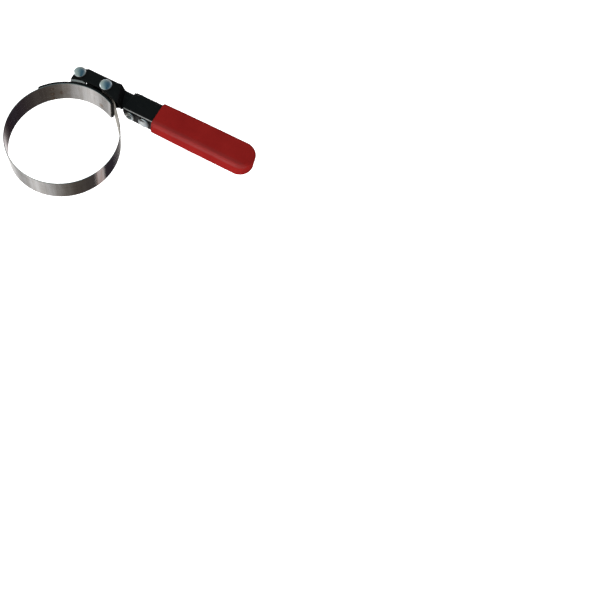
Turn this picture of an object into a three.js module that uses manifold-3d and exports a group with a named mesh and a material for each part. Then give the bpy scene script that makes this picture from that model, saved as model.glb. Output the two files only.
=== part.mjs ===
// Swivel-handle band wrench for spin-on oil filters.
// Millimetres. X runs along the handle, Y away from the band loop, Z along the loop's axis.
// All working coordinates below are taken from the centre of the band loop; the whole object is
// shifted at the end so that its origin is the centre of the bottom of its bounding box.
import * as THREE from 'three';
import { mergeVertices } from 'three/addons/utils/BufferGeometryUtils.js';
import Module from 'manifold-3d';

const wasm = await Module();
wasm.setup();

// ---------------------------------------------------------------- driving dimensions
const GAP = 0.3;                 // clearance between pieces that touch or are clamped

const R_BAND = 47.0;             // mean radius of the band loop, open for a 93 mm filter
const T_BAND = 0.7;              // spring steel strip
const W_BAND = 22.3;             // 7/8 in strip
const BAND_START = 64.7;         // the welded end of the strip, degrees about the loop centre
const BAND_TANGENT = 402.6;      // where the strip leaves the circle for the lever
const FLEX_1 = 166;              // stations at which the strip is divided so that it can flex
const FLEX_2 = 232;
const FLEX_3 = 322;
const CUT = 0.18;                // half gap at each station, degrees

const SHOE_A0 = 63.7, SHOE_A1 = 147.7;
const SHOE_R0 = 47.65, SHOE_R1 = 49.25;

const P1 = [-17.7, 55.3];        // lever pivot
const P2 = [8.1, 55.0];          // band pin
const EYE_R = 3.8;               // mean radius of the rolled eye
const ROLLER_R = 2.9, ROLLER_BORE = 2.35, BAND_PIN_R = 2.2;

const T_BRACKET = 1.6;
const FOOT_SPAN = 17.0;          // degrees that the bracket's foot runs beyond the pivot
const EAR_IN = 9.8;              // inner face of each bracket ear, from the mid plane
const PIVOT_PIN_R = 2.9, PIVOT_HOLE_R = 3.1;
const SLEEVE_R = 4.2, SLEEVE_BORE = 3.15;

const T_LEVER = 1.6;
const LEVER_W = 13.6;            // half width over the flanges at the pins
const NECK_W = 4.4;              // half width of the tongue that enters the handle
const JOG_A = 18.0, JOG_B = 21.6;     // corners of the joggle, level with the wide web
const JOG_R = 1.8;               // mean radius of its bends
const JOG_LEAN = 0.37;           // the joggle leans: it comes later toward the free edge of the flanges
const LEVER_TOP = 63.0;          // outer face of the lever web
const TONGUE_TOP = 64.8;         // outer face of the tongue, just inside the handle's flange
const RISE_T0 = 15.0, RISE_T1 = 21.5; // the web rises between these stations
const FLANGE_END = 31.0;         // the flanges stop short of the swivel spacer
const LEVER_WEB_T0 = -13.6;
const LUG_R = 5.3;

const T_HANDLE = 1.6;
const HANDLE_N0 = 46.3, HANDLE_N1 = 66.7;   // over the flanges
const HANDLE_H = 6.35;           // half depth
const T_SWIVEL = 36.4;           // swivel rivet
const EAR_T0 = 29.4;             // near end of the handle channel
const T_TIE = 50.0;              // tie rivet
const HANDLE_END_C = 133.2, HANDLE_END_R = 10.2;

const GRIP_T0 = 57.0;
const GRIP_N0 = 44.5, GRIP_N1 = 67.8;
const GRIP_H0 = 7.5, GRIP_H1 = 8.3;

const HEAD_R = 5.4;              // domed rivet heads

// shift of the loop centre in the part frame
const SHIFT = [-48.829, -10.265, 16.25];

// ---------------------------------------------------------------- helpers
const rad = (d) => d * Math.PI / 180;
const polar = (r, a) => [r * Math.cos(rad(a)), r * Math.sin(rad(a))];

function solid(geometry) {
  const g = geometry.clone();
  g.deleteAttribute('normal');
  if (g.attributes.uv) g.deleteAttribute('uv');
  const m = mergeVertices(g, 1e-4);
  const triVerts = new Uint32Array(m.index.array);
  const vertProperties = new Float32Array(m.attributes.position.array);
  return new wasm.Manifold(new wasm.Mesh({ numProp: 3, vertProperties, triVerts }));
}

function geometryOf(manifold) {
  const mesh = manifold.getMesh();
  const g = new THREE.BufferGeometry();
  g.setAttribute('position', new THREE.BufferAttribute(new Float32Array(mesh.vertProperties), 3));
  g.setIndex(new THREE.BufferAttribute(new Uint32Array(mesh.triVerts), 1));
  g.computeVertexNormals();
  return g;
}

const shapeOf = (pts) => new THREE.Shape(pts.map(([x, y]) => new THREE.Vector2(x, y)));

// outline in (x, y), extruded along z
function alongZ(pts, z0, z1) {
  const g = new THREE.ExtrudeGeometry(shapeOf(pts), { depth: z1 - z0, bevelEnabled: false });
  g.translate(0, 0, z0);
  return solid(g);
}
// outline in (x, z), extruded along y
function alongY(pts, y0, y1, lean = 0, yLean = 0) {
  const g = new THREE.ExtrudeGeometry(shapeOf(pts), { depth: y1 - y0, bevelEnabled: false });
  g.rotateX(Math.PI / 2);
  g.translate(0, y1, 0);
  // lean slides the outline along x by lean for every mm below yLean
  if (lean) g.applyMatrix4(new THREE.Matrix4().set(1, -lean, 0, lean * yLean, 0, 1, 0, 0, 0, 0, 1, 0, 0, 0, 0, 1));
  return solid(g);
}
// outline in (y, z), extruded along x
function alongX(pts, x0, x1) {
  const g = new THREE.ExtrudeGeometry(shapeOf(pts), { depth: x1 - x0, bevelEnabled: false });
  g.applyMatrix4(new THREE.Matrix4().makeBasis(
    new THREE.Vector3(0, 1, 0), new THREE.Vector3(0, 0, 1), new THREE.Vector3(1, 0, 0)));
  g.translate(x0, 0, 0);
  return solid(g);
}
const box = (x0, x1, y0, y1, z0, z1) => {
  const g = new THREE.BoxGeometry(x1 - x0, y1 - y0, z1 - z0);
  g.translate((x0 + x1) / 2, (y0 + y1) / 2, (z0 + z1) / 2);
  return solid(g);
};
// profile [radius, height] turned about the z axis, through (x, y)
function turned(profile, x, y, segments = 24) {
  const g = new THREE.LatheGeometry(profile.map(([r, h]) => new THREE.Vector2(r, h)), segments);
  g.rotateX(Math.PI / 2);
  g.translate(x, y, 0);
  return solid(g);
}
// the same about a line parallel to y, through x, with height running along +y
function turnedY(profile, x, segments = 24) {
  const g = new THREE.LatheGeometry(profile.map(([r, h]) => new THREE.Vector2(r, h)), segments);
  g.translate(x, 0, 0);
  return solid(g);
}
const cylZ = (x, y, r, z0, z1, n = 24) => turned([[0, z0], [r, z0], [r, z1], [0, z1]], x, y, n);
const cylY = (x, r, y0, y1, n = 24) => turnedY([[0, y0], [r, y0], [r, y1], [0, y1]], x, n);
const ringZ = (x, y, ri, ro, z0, z1, n = 24) =>
  turned([[ri, z0], [ro, z0], [ro, z1], [ri, z1], [ri, z0]], x, y, n);
const ringY = (x, ri, ro, y0, y1, n = 24) =>
  turnedY([[ri, y0], [ro, y0], [ro, y1], [ri, y1], [ri, y0]], x, n);

function arcPoints(cx, cy, r, a0, a1, step = 5) {
  const n = Math.max(1, Math.ceil(Math.abs(a1 - a0) / step));
  const out = [];
  for (let i = 0; i <= n; i++) {
    const a = rad(a0 + (a1 - a0) * i / n);
    out.push([cx + r * Math.cos(a), cy + r * Math.sin(a)]);
  }
  return out;
}
// curved plate concentric with the loop
function hoop(r0, r1, a0, a1, z0, z1) {
  return alongZ([...arcPoints(0, 0, r1, a0, a1), ...arcPoints(0, 0, r0, a1, a0)], z0, z1);
}

const group = new THREE.Group();
function add(name, manifold, color, roughness, metalness) {
  const mesh = new THREE.Mesh(geometryOf(manifold), new THREE.MeshStandardMaterial({ color, roughness, metalness }));
  mesh.name = name;
  mesh.position.set(...SHIFT);
  group.add(mesh);
}
const STEEL = [0x9a9690, 0.3, 1.0];
const ZINC = [0xc2c8cc, 0.28, 1.0];
const BLACK = [0x17181a, 0.45, 0.6];
const RED = [0x9c1f22, 0.42, 0.0];

// ---------------------------------------------------------------- band
const HB = W_BAND / 2;
const RI = R_BAND - T_BAND / 2, RO = R_BAND + T_BAND / 2;

add('band_fixed', hoop(RI, RO, BAND_START, FLEX_1 - CUT, -HB, HB), ...STEEL);
add('band_flex_a', hoop(RI, RO, FLEX_1 + CUT, FLEX_2 - CUT, -HB, HB), ...STEEL);
add('band_flex_b', hoop(RI, RO, FLEX_2 + CUT, FLEX_3 - CUT, -HB, HB), ...STEEL);

// the last stretch leaves the circle on its tangent, rolls round the band pin and laps back
{
  const u = polar(1, BAND_TANGENT);                  // outward normal of the straight tail
  const d = [-u[1], u[0]];                           // along the tail, toward the pin
  const T = polar(R_BAND, BAND_TANGENT);
  const run = (P2[0] - T[0]) * d[0] + (P2[1] - T[1]) * d[1];
  const h = T_BAND / 2;
  const at = (s, o) => [T[0] + d[0] * s + u[0] * o, T[1] + d[1] * s + u[1] * o];
  const arc = hoop(RI, RO, FLEX_3 + CUT, BAND_TANGENT, -HB, HB);
  const tail = alongZ([at(-0.4, -h), at(-0.4, h), at(run, h), at(run, -h)].reverse(), -HB, HB);
  const eye = ringZ(P2[0], P2[1], EYE_R - h, EYE_R + h, -HB, HB, 32);
  // lapped end: from the near side of the eye in to the tail, then flat along it
  const q = (a) => {                                  // points about the pin in the tail's own axes
    const v = at(run, 0);
    const c = [v[0] - u[0] * EYE_R, v[1] - u[1] * EYE_R];
    return (ds, du) => [c[0] + d[0] * ds + u[0] * du, c[1] + d[1] * ds + u[1] * du];
  };
  const near = q();
  const lap = alongZ([
    near(-1.6, -(EYE_R - h) - 0.25), near(-8.5, EYE_R - T_BAND - h - 0.1), near(-15.5, EYE_R - T_BAND - h),
    near(-15.5, EYE_R - h + 0.05), near(-8.3, EYE_R - h + 0.05), near(-1.35, -(EYE_R - h) + 0.55),
  ].reverse(), -HB, HB);
  let end = arc.add(tail).add(lap).add(eye);
  end = end.subtract(cylZ(P2[0], P2[1], EYE_R - h, -HB - 1, HB + 1, 32));
  add('band_end', end, ...STEEL);
}

// ---------------------------------------------------------------- backing shoe, outside the band
add('backing_shoe', hoop(SHOE_R0, SHOE_R1, SHOE_A0, SHOE_A1, -HB, HB), ...BLACK);

// ---------------------------------------------------------------- pivot bracket: a U on the shoe
{
  const aP = Math.atan2(P1[1], P1[0]) * 180 / Math.PI;
  const rP = Math.hypot(...P1);
  // local outline in (tangent, radial), turned so that radial points at the pin
  const place = ([s, r]) => {
    const a = rad(aP);
    return [r * Math.cos(a) + s * Math.sin(a), r * Math.sin(a) - s * Math.cos(a)];
  };
  const base = SHOE_R1 + GAP;
  const W = 6.6;
  const foot = (s) => Math.sqrt(base * base - s * s) + 0.02;
  const baseArc = [];
  for (let s = -W; s <= W + 1e-6; s += W / 4) baseArc.push([s, foot(s)]);
  const plate = alongZ([...baseArc, [W, base + T_BRACKET - 0.35], [-W, base + T_BRACKET - 0.35]].map(place).reverse(),
    -EAR_IN - T_BRACKET, EAR_IN + T_BRACKET);
  const earOutline = [[-W, base + 0.6], [-5.0, rP]];
  for (let k = 1; k <= 12; k++) {
    const a = Math.PI - Math.PI * k / 13;
    earOutline.push([5.0 * Math.cos(a), rP + 5.0 * Math.sin(a)]);
  }
  earOutline.push([5.0, rP], [W, base + 0.6]);
  const ear = (z0, z1) => alongZ(earOutline.map(place), z0, z1);
  const hole = cylZ(P1[0], P1[1], PIVOT_HOLE_R, -20, 20);
  // the foot runs on along the shoe under the lever
  const wing = hoop(base, base + T_BRACKET - 0.1, aP - FOOT_SPAN, aP - 6, -HB, HB);
  add('pivot_bracket', plate.add(wing).add(ear(EAR_IN, EAR_IN + T_BRACKET)).add(ear(-EAR_IN - T_BRACKET, -EAR_IN)).subtract(hole), ...BLACK);
}

// ---------------------------------------------------------------- rivets with axes along z
const Z_HEAD = LEVER_W + GAP;
function domeProfile(shank, z0, base, R, rise, tailR, tailRise) {
  // tail at the bottom, head at the top
  const p = [[0, z0 - tailRise], [tailR * 0.55, z0 - tailRise], [tailR * 0.9, z0 - tailRise * 0.72], [tailR, z0 - tailRise * 0.25], [tailR, z0]];
  p.push([shank, z0], [shank, base], [R, base], [R, base + 0.45]);
  const n = 5;
  for (let i = 1; i < n; i++) {
    const a = (Math.PI / 2) * i / n;
    p.push([R * Math.cos(a), base + 0.45 + (rise - 0.45) * Math.sin(a)]);
  }
  p.push([0, base + rise]);
  return p;
}
const Z_WASHER0 = -(LEVER_W + GAP), WASHER_T = 0.8;
const Z_TAIL = Z_WASHER0 - WASHER_T - GAP;
add('pivot_rivet', turned(domeProfile(PIVOT_PIN_R, Z_TAIL, Z_HEAD, HEAD_R, 1.95, 4.5, 1.25), ...P1), ...ZINC);
add('pivot_washer', ringZ(...P1, PIVOT_HOLE_R, 5.2, Z_WASHER0 - WASHER_T, Z_WASHER0), ...ZINC);
add('pivot_sleeve', ringZ(...P1, SLEEVE_BORE, SLEEVE_R, -(EAR_IN - GAP), EAR_IN - GAP), ...ZINC);
add('band_rivet', turned(domeProfile(BAND_PIN_R, Z_TAIL, Z_HEAD, HEAD_R, 1.95, 4.5, 1.25), ...P2), ...ZINC);
add('band_rivet_washer', ringZ(...P2, BAND_PIN_R + 0.2, 5.2, Z_WASHER0 - WASHER_T, Z_WASHER0), ...ZINC);
add('band_rivet_roller', ringZ(...P2, ROLLER_BORE, ROLLER_R, -(LEVER_W - T_LEVER - GAP), LEVER_W - T_LEVER - GAP), ...ZINC);

// ---------------------------------------------------------------- lever: a U channel that necks down by a joggle
{
  // centre line of a flange in plan, with filleted corners, and its two faces
  const t0 = P1[0] - LUG_R - 20, tEnd = T_SWIVEL + 20;
  const wide = LEVER_W - T_LEVER / 2, narrow = NECK_W - T_LEVER / 2;
  const turn = Math.atan2(wide - narrow, JOG_B - JOG_A);
  const back = JOG_R * Math.tan(turn / 2);
  const line = [[t0, wide, 0]];
  const steps = 6;
  for (let i = 0; i <= steps; i++) {
    const a = turn * i / steps;
    line.push([JOG_A - back + JOG_R * Math.sin(a), wide - JOG_R * (1 - Math.cos(a)), -a]);
  }
  for (let i = 0; i <= steps; i++) {
    const a = turn * (1 - i / steps);
    line.push([JOG_B + back - JOG_R * Math.sin(a), narrow + JOG_R * (1 - Math.cos(a)), -a]);
  }
  line.push([tEnd, narrow, 0]);
  const face = (o) => line.map(([x, w, a]) => [x - Math.sin(a) * o, w + Math.cos(a) * o]);
  const outer = face(T_LEVER / 2), inner = face(-T_LEVER / 2);
  const both = (half) => [...half.map(([x, w]) => [x, -w]), ...[...half].reverse()];
  const envelope = alongY(both(outer), 30, 80, JOG_LEAN, LEVER_TOP);
  const hollow = alongY(both(inner.map(([x, w], i) => [i === 0 ? x - 1 : i === inner.length - 1 ? x + 1 : x, w])), 29, 81, JOG_LEAN, LEVER_TOP);

  const rise = [];
  for (let i = 0; i <= 8; i++) {
    const k = i / 8, q = k * k * (3 - 2 * k);
    rise.push([RISE_T0 + (RISE_T1 - RISE_T0) * k, LEVER_TOP + (TONGUE_TOP - LEVER_TOP) * q]);
  }
  // side outline shared by both flanges
  const arcR = 50.2;
  const edge = [];
  for (let t = -10; t <= 22.8; t += 3.27) edge.push([t, Math.sqrt(arcR * arcR - t * t)]);
  const lug = arcPoints(P1[0], P1[1], LUG_R, 90, 288, 9);
  const outline = [
    [FLANGE_END, TONGUE_TOP], ...[...rise].reverse(), [LEVER_WEB_T0, LEVER_TOP], [P1[0] + 1.2, P1[1] + LUG_R + 0.05],
    ...lug, ...edge, [24.5, 46.1], [26.1, 45.9], [27.4, 46.4], [28.7, 47.2], [29.0, 48.0], [29.05, 49.3], [30.0, 50.2], [FLANGE_END, 52.0],
  ];
  const flanges = envelope.subtract(hollow).intersect(alongZ(outline, -20, 20));
  const plate = [[LEVER_WEB_T0, LEVER_TOP], ...rise, [tEnd - 2, TONGUE_TOP]];
  const web = alongZ([...plate, ...[...plate].reverse().map(([x, y]) => [x, y - T_LEVER])].reverse(), -20, 20)
    .intersect(envelope)
    .intersect(alongY([[-40, -20], [28, -20], [28, -NECK_W], ...arcPoints(T_SWIVEL, 0, NECK_W, -90, 90, 10), [28, NECK_W], [28, 20], [-40, 20]], 50, 70));
  let lever = flanges.add(web);
  lever = lever.subtract(cylZ(...P1, PIVOT_HOLE_R, -20, 20));
  lever = lever.subtract(cylZ(...P2, BAND_PIN_R + 0.2, -20, 20));
  lever = lever.subtract(cylY(T_SWIVEL, 2.95, 50, 70));
  // the lower flange is cut back along the joggle
  const relief = [[12.0, 42], [31.5, 42], [31.5, 51.95], [28.6, 52.3], [27.0, 53.4], [25.0, 55.1], [21.4, 55.6], [19.0, 55.3], [17.6, 54.0], [14.0, 49.6], [12.0, 48.74]];
  lever = lever.subtract(alongZ(relief, -20, -1));
  // the bends are rounded on the outside over the straight parts
  const r = 1.6;
  const cutCorner = (sign, top, z, x0, x1) => {
    const pts = [[top + 1, sign * (z + 1)], [top + 1, sign * (z - r)], [top, sign * (z - r)]];
    for (let i = 1; i < 4; i++) {
      const a = (Math.PI / 2) * i / 4;
      pts.push([top - r + r * Math.cos(a), sign * (z - r + r * Math.sin(a))]);
    }
    pts.push([top - r, sign * z], [top - r, sign * (z + 1)]);
    return alongX(sign > 0 ? pts : pts.reverse(), x0, x1);
  };
  for (const sign of [1, -1]) {
    lever = lever.subtract(cutCorner(sign, LEVER_TOP, LEVER_W, -30, RISE_T0));
    lever = lever.subtract(cutCorner(sign, TONGUE_TOP, NECK_W, 23.5, FLANGE_END));
  }
  add('lever_channel', lever, ...BLACK);
}

// ---------------------------------------------------------------- handle: channel whose web bridges the lever's tongue
{
  const ro = 2.5, ri = 0.9, t = T_HANDLE, H = HANDLE_H;
  const corner = (cy, cz, r, a0, a1) => {
    const out = [];
    for (let i = 0; i <= 4; i++) {
      const a = rad(a0 + (a1 - a0) * i / 4);
      out.push([cy + r * Math.cos(a), cz + r * Math.sin(a)]);
    }
    return out;
  };
  const section = [
    [HANDLE_N1, -H],
    ...corner(HANDLE_N1 - ro, H - ro, ro, 0, 90),
    ...corner(HANDLE_N0 + ro, H - ro, ro, 90, 180),
    [HANDLE_N0, -H], [HANDLE_N0 + t, -H],
    ...corner(HANDLE_N0 + t + ri, H - t - ri, ri, 180, 90),
    ...corner(HANDLE_N1 - t - ri, H - t - ri, ri, 90, 0),
    [HANDLE_N1 - t, -H],
  ];
  let c = alongX(section, T_SWIVEL - 10, HANDLE_END_C + HANDLE_END_R + 2);
  // square corner at the web, rounded below so that the handle can swing down
  const sideView = [[EAR_T0, HANDLE_H + 1], [EAR_T0, 2.0], ...arcPoints(T_SWIVEL, 0, HANDLE_H, 180, 270, 9), [160, -HANDLE_H], [160, HANDLE_H + 1]];
  c = c.intersect(alongY(sideView, 30, 80));
  const nMid = (HANDLE_N0 + HANDLE_N1) / 2;
  const plan = [
    [T_SWIVEL - 12, HANDLE_N0 - 1], [HANDLE_END_C, HANDLE_N0 - 1], [HANDLE_END_C, nMid - HANDLE_END_R],
    ...arcPoints(HANDLE_END_C, nMid, HANDLE_END_R, -90, 90, 9).slice(1, -1),
    [HANDLE_END_C, nMid + HANDLE_END_R], [HANDLE_END_C, HANDLE_N1 + 1], [T_SWIVEL - 12, HANDLE_N1 + 1],
  ];
  c = c.intersect(alongZ(plan, -20, 20));
  // the web's near end slants back to the outer flange
  c = c.subtract(alongZ([[20, 40], [EAR_T0, 40], [EAR_T0, HANDLE_N0], [30.2, 60], [30.8, 63.5], [31.6, 65.4], [32.4, HANDLE_N1], [32.4, 72], [20, 72]], H - ro, 20));
  c = c.subtract(cylY(T_SWIVEL, 2.95, 30, 80)).subtract(cylY(T_TIE, 2.95, 30, 80));
  add('handle_channel', c, ...BLACK);
}

// swivel rivet: domed head on the outer ear, rolled tubular tail on the inner ear
{
  const a = HANDLE_N0 - GAP, b = HANDLE_N1 + GAP, s = 2.7;
  const p = [[0, a + 3.4], [1.55, a + 2.6], [1.6, a - 0.9], [2.1, a - 1.35], [3.4, a - 1.45], [4.5, a - 1.05], [4.85, a - 0.4], [4.7, a],
    [s, a], [s, b], [4.0, b], [4.0, b + 0.3], [3.3, b + 0.65], [1.8, b + 0.82], [0, b + 0.85]];
  add('swivel_rivet', turnedY(p, T_SWIVEL), ...ZINC);
  // from the near ear inward: flat washer, spring washer, spacer, the lever's tongue
  const f0 = HANDLE_N0 + T_HANDLE + GAP, f1 = f0 + 0.8;
  add('swivel_flat_washer', ringY(T_SWIVEL, 2.95, 4.4, f0, f1), ...ZINC);
  const w0 = f1 + GAP, w1 = w0 + 1.4, R = 4.3;
  const th = 0.6, bow = w1 - w0 - th;
  const low = [], high = [];
  for (let i = 0; i <= 10; i++) {
    const x = -R + 2 * R * i / 10, k = 1 - (x / R) ** 2;
    low.push([T_SWIVEL + x, w0 + bow * k]);
    high.push([T_SWIVEL + x, w0 + bow * k + th]);
  }
  const slab = alongZ([...low, ...high.reverse()], -6, 6);
  add('swivel_spring_washer', slab.intersect(cylY(T_SWIVEL, R, 40, 70)).subtract(cylY(T_SWIVEL, 2.95, 40, 70)), ...ZINC);
  add('swivel_spacer', ringY(T_SWIVEL, 2.95, 4.0, w1 + GAP, TONGUE_TOP - T_LEVER - GAP), ...ZINC);
}

// tie rivet and its spacer hold the channel's flanges apart behind the swivel
{
  const a = HANDLE_N0 - GAP, b = HANDLE_N1 + GAP, s = 2.7;
  const p = [[0, a - 1.9]];
  for (let i = 1; i < 5; i++) {
    const k = (Math.PI / 2) * i / 5;
    p.push([HEAD_R * Math.sin(k), a - 0.4 - 1.5 * Math.cos(k)]);
  }
  p.push([HEAD_R, a - 0.4], [HEAD_R, a], [s, a], [s, b], [3.9, b], [3.9, b + 0.3], [3.2, b + 0.65], [1.8, b + 0.82], [0, b + 0.85]);
  add('tie_rivet', turnedY(p, T_TIE), ...ZINC);
  add('tie_spacer', ringY(T_TIE, 2.95, 4.1, HANDLE_N0 + T_HANDLE + GAP, HANDLE_N1 - T_HANDLE - GAP), ...ZINC);
}

// ---------------------------------------------------------------- dipped vinyl grip over the channel
{
  const nMid = (GRIP_N0 + GRIP_N1) / 2, R = (GRIP_N1 - GRIP_N0) / 2, b = 2.0;
  const cEnd = 145.0 - R;
  const outline = [];
  const stations = [GRIP_T0 + b, 68, 80, 92, 104, 119, cEnd];
  for (const t of stations) outline.push([t, nMid - R + b]);
  outline.push(...arcPoints(cEnd, nMid, R - b, -90, 90, 9).slice(1, -1));
  for (const t of [...stations].reverse()) outline.push([t, nMid + R - b]);
  const g = new THREE.ExtrudeGeometry(shapeOf(outline), {
    depth: 2 * (GRIP_H1 - b), bevelEnabled: true, bevelThickness: b, bevelSize: b, bevelSegments: 4,
  });
  g.translate(0, 0, -(GRIP_H1 - b));
  const p = g.attributes.position;
  for (let i = 0; i < p.count; i++) {
    const k = Math.min(1, Math.max(0, (p.getX(i) - GRIP_T0) / (104 - GRIP_T0)));
    const s = (GRIP_H0 + (GRIP_H1 - GRIP_H0) * k * (2 - k)) / GRIP_H1;
    p.setZ(i, p.getZ(i) * s);
  }
  let grip = solid(g);
  grip = grip.subtract(box(40, GRIP_T0 + 1.2, 30, 80, -20, 20));
  const c0 = HANDLE_N0 - GAP, c1 = HANDLE_N1 + GAP, cm = (c0 + c1) / 2;
  const cav = [[GRIP_T0 - 5, c0], [HANDLE_END_C, c0], ...arcPoints(HANDLE_END_C, cm, (c1 - c0) / 2, -90, 90, 9).slice(1, -1),
    [HANDLE_END_C, c1], [GRIP_T0 - 5, c1]];
  grip = grip.subtract(alongZ(cav, -(HANDLE_H + GAP), HANDLE_H + GAP));
  add('vinyl_grip', grip, ...RED);
}

export default group;
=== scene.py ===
import bpy
import math
import numpy as np
from mathutils import Vector, Matrix, noise
from mathutils.geometry import delaunay_2d_cdt


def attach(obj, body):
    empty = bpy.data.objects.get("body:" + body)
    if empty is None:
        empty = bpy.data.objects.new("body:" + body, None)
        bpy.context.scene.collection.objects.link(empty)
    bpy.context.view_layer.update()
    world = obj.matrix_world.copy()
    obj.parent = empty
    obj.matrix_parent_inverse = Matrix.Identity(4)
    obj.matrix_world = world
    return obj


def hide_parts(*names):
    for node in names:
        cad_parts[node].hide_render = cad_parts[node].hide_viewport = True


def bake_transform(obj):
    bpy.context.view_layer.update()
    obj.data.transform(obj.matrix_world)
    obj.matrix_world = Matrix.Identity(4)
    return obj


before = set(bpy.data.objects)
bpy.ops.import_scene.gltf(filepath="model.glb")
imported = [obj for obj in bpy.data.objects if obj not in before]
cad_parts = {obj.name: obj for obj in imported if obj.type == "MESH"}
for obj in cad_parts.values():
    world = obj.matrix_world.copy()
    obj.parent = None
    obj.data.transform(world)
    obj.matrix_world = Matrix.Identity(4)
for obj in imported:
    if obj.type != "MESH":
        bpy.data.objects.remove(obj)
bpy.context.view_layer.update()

# Working coordinates (t, n, z) are millimetres from the centre of the band loop, as in the CAD.
S = (-48.829, -10.265, 16.25)


def P(t, n, z):
    return Vector(((t + S[0]) / 1000, (n + S[1]) / 1000, (z + S[2]) / 1000))


def smooth(x):
    x = min(1.0, max(0.0, x))
    return x * x * (3 - 2 * x)


def pol(r, a):
    return (r * math.cos(math.radians(a)), r * math.sin(math.radians(a)))


# ------------------------------------------------------------------ materials
class Nodes:
    def __init__(self, name):
        self.mat = bpy.data.materials.new(name)
        self.mat.use_nodes = True
        self.nt = self.mat.node_tree
        self.nt.nodes.clear()
        self.out = self.nt.nodes.new("ShaderNodeOutputMaterial")
        self.bsdf = self.nt.nodes.new("ShaderNodeBsdfPrincipled")
        self.nt.links.new(self.bsdf.outputs[0], self.out.inputs[0])

    def new(self, kind, **sockets):
        n = self.nt.nodes.new(kind)
        for k, v in sockets.items():
            if hasattr(n, k) and not (k in n.inputs):
                setattr(n, k, v)
            else:
                n.inputs[k].default_value = v
        return n

    def link(self, a, b):
        self.nt.links.new(a, b)

    def obj(self):
        return self.new("ShaderNodeTexCoord").outputs["Object"]

    def uv(self):
        return self.new("ShaderNodeUVMap", uv_map="grain").outputs[0]

    def mapped(self, src, scale, loc=(0, 0, 0), rot=(0, 0, 0)):
        m = self.new("ShaderNodeMapping")
        m.inputs["Scale"].default_value = scale
        m.inputs["Location"].default_value = loc
        m.inputs["Rotation"].default_value = rot
        self.link(src, m.inputs[0])
        return m.outputs[0]

    def noise(self, src, scale, detail=4, rough=0.5, distortion=0.0):
        n = self.new("ShaderNodeTexNoise")
        n.inputs["Scale"].default_value = scale
        n.inputs["Detail"].default_value = detail
        n.inputs["Roughness"].default_value = rough
        n.inputs["Distortion"].default_value = distortion
        self.link(src, n.inputs["Vector"])
        return n.outputs[0]

    def ramp(self, src, stops, interp="LINEAR"):
        r = self.new("ShaderNodeValToRGB")
        r.color_ramp.interpolation = interp
        els = r.color_ramp.elements
        while len(els) < len(stops):
            els.new(0.5)
        for e, (p, c) in zip(els, stops):
            e.position = p
            e.color = (c, c, c, 1) if isinstance(c, (int, float)) else (*c, 1)
        self.link(src, r.inputs[0])
        return r.outputs[0]

    def math(self, op, a, b=None, c=None, clamp=False):
        n = self.new("ShaderNodeMath")
        n.operation = op
        n.use_clamp = clamp
        for i, v in enumerate((a, b, c)):
            if v is None:
                continue
            if isinstance(v, (int, float)):
                n.inputs[i].default_value = v
            else:
                self.link(v, n.inputs[i])
        return n.outputs[0]

    def mix(self, f, a, b):
        n = self.new("ShaderNodeMix")
        n.data_type = "RGBA"
        n.clamp_factor = True
        for sock, v in ((n.inputs[0], f), (n.inputs[6], a), (n.inputs[7], b)):
            if isinstance(v, (int, float)):
                sock.default_value = v
            elif isinstance(v, tuple):
                sock.default_value = (*v, 1)
            else:
                self.link(v, sock)
        return n.outputs[2]

    def attr(self, name):
        n = self.new("ShaderNodeAttribute")
        n.attribute_name = name
        return n.outputs["Fac"]

    def bump(self, height, strength, distance, normal=None):
        b = self.new("ShaderNodeBump")
        b.inputs["Strength"].default_value = strength
        b.inputs["Distance"].default_value = distance
        self.link(height, b.inputs["Height"])
        if normal is not None:
            self.link(normal, b.inputs["Normal"])
        return b.outputs[0]

    def set(self, **kw):
        for k, v in kw.items():
            s = self.bsdf.inputs[k.replace("_", " ")]
            if isinstance(v, (int, float)):
                s.default_value = v
            elif isinstance(v, tuple):
                s.default_value = (*v, 1) if len(v) == 3 else v
            else:
                self.link(v, s)
        return self.mat


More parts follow.
